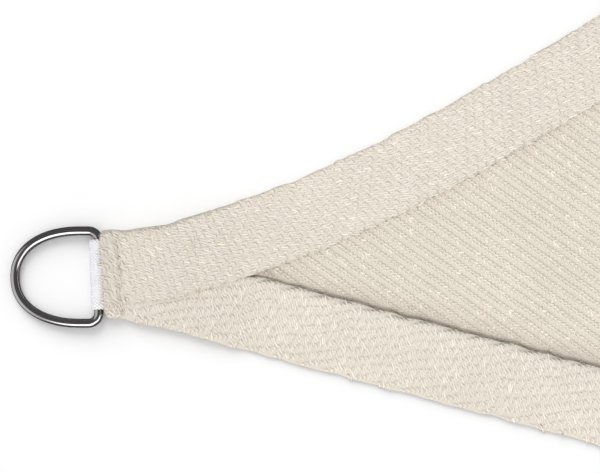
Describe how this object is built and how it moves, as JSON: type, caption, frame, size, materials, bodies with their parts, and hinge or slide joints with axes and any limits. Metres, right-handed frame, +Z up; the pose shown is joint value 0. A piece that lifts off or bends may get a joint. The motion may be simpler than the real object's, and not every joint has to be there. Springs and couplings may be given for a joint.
{
  "type": "triangular shade sail",
  "caption": "Triangular shade sail of knitted cloth lying flat, with wide turned hems, bowed-in edges and a steel D-ring in a webbing loop at each corner.",
  "frame": {"origin": "middle of the whole sail's box, on the surface that it lies on", "axes": "+Z up out of the surface, through the cloth's thickness; the first corner points to -X"},
  "size_m": [1.923, 2.1122, 0.0108],
  "materials": {
    "knitted_cloth": "matt knitted polyethylene shade cloth, warm cream",
    "webbing": "white woven polyester webbing",
    "polished_steel": "polished stainless steel wire"
  },
  "bodies": {
    "root": {"sail_cloth": "knitted_cloth", "corner_webbing_1": "webbing", "corner_webbing_2": "webbing", "corner_webbing_3": "webbing", "corner_ring_1": "polished_steel", "corner_ring_2": "polished_steel", "corner_ring_3": "polished_steel"}
  },
  "joints": []
}
